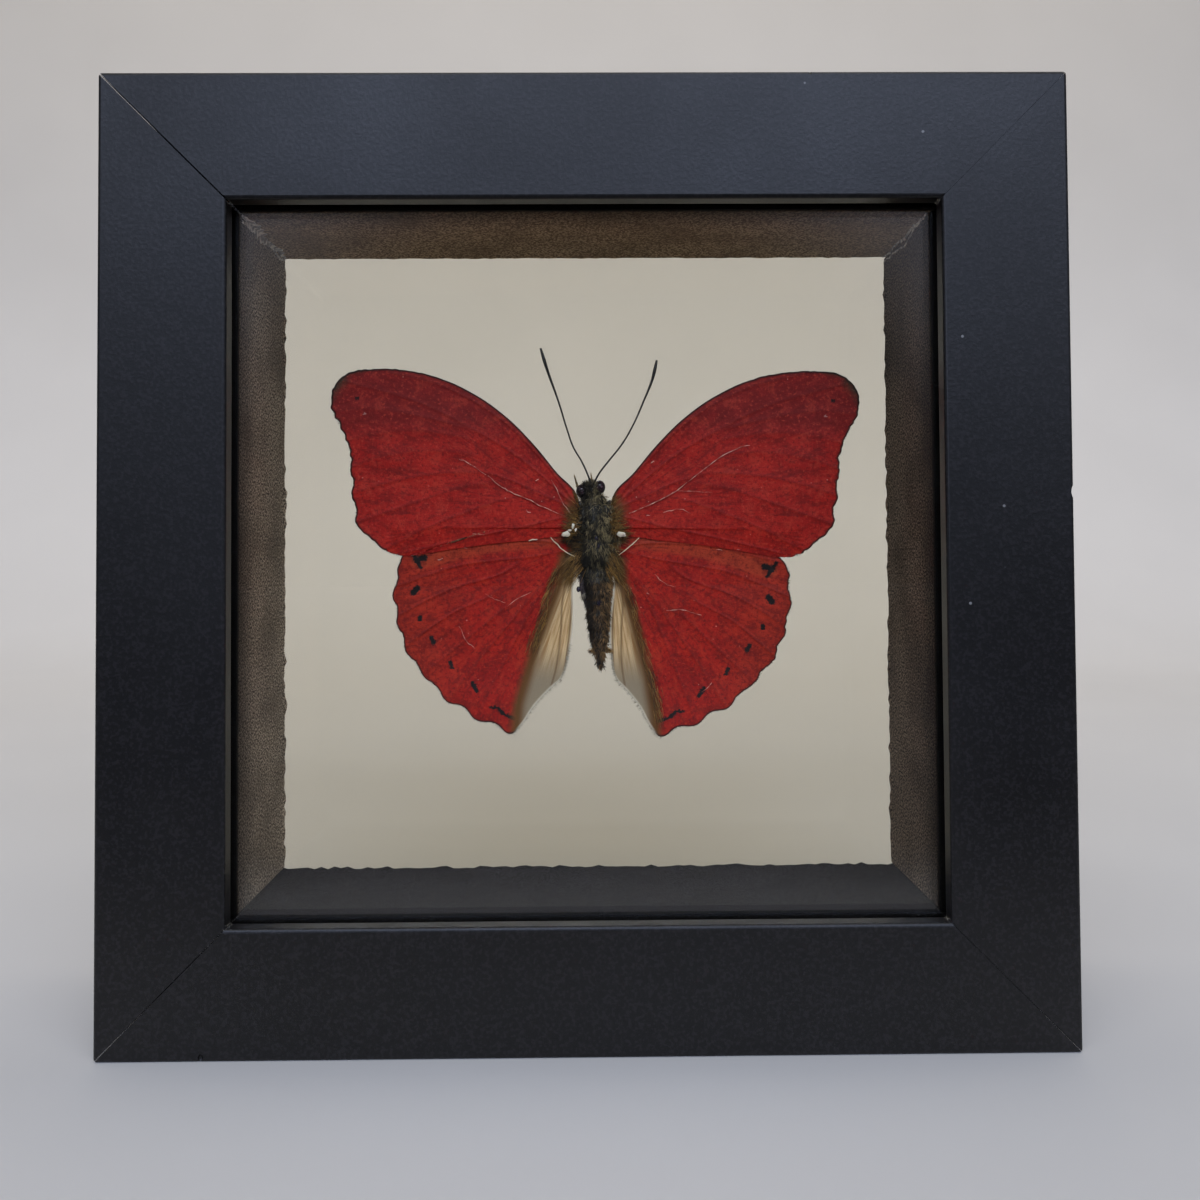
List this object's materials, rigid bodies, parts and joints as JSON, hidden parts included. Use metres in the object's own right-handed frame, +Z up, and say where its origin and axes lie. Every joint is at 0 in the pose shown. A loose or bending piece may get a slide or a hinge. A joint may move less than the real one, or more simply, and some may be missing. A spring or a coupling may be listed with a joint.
{
  "type": "framed butterfly specimen",
  "caption": "Spread red butterfly held between glass panes in a small square black wooden box frame that stands on its lower rail.",
  "frame": {"origin": "middle of the frame's underside, where it stands", "axes": "+Z up, the front of the frame faces -Y, +X to the right as seen from the front"},
  "size_m": [0.12, 0.03, 0.1208],
  "materials": {
    "frame_paint": "satin black paint on wood",
    "strip_paint": "rough, thinly painted grey brown",
    "glass": "clear picture glass",
    "glue": "clear, glossy",
    "body_fur": "olive brown fur",
    "forewing_scales": "velvety crimson scales",
    "hindwing_scales": "velvety scarlet scales",
    "antenna_horn": "dull black"
  },
  "bodies": {
    "root": {"rail_top": "frame_paint", "spacer_top": "strip_paint", "stop_top": "frame_paint", "rail_bottom": "frame_paint", "spacer_bottom": "strip_paint", "stop_bottom": "frame_paint", "rail_left": "frame_paint", "spacer_left": "strip_paint", "stop_left": "frame_paint", "rail_right": "frame_paint", "spacer_right": "strip_paint", "stop_right": "frame_paint", "glass_front": "glass", "glass_back": "glass", "glue_dab": "glue", "body": "body_fur", "forewing_left": "forewing_scales", "forewing_right": "forewing_scales", "hindwing_left": "hindwing_scales", "hindwing_right": "hindwing_scales", "antenna_left": "antenna_horn", "antenna_right": "antenna_horn"}
  },
  "joints": []
}
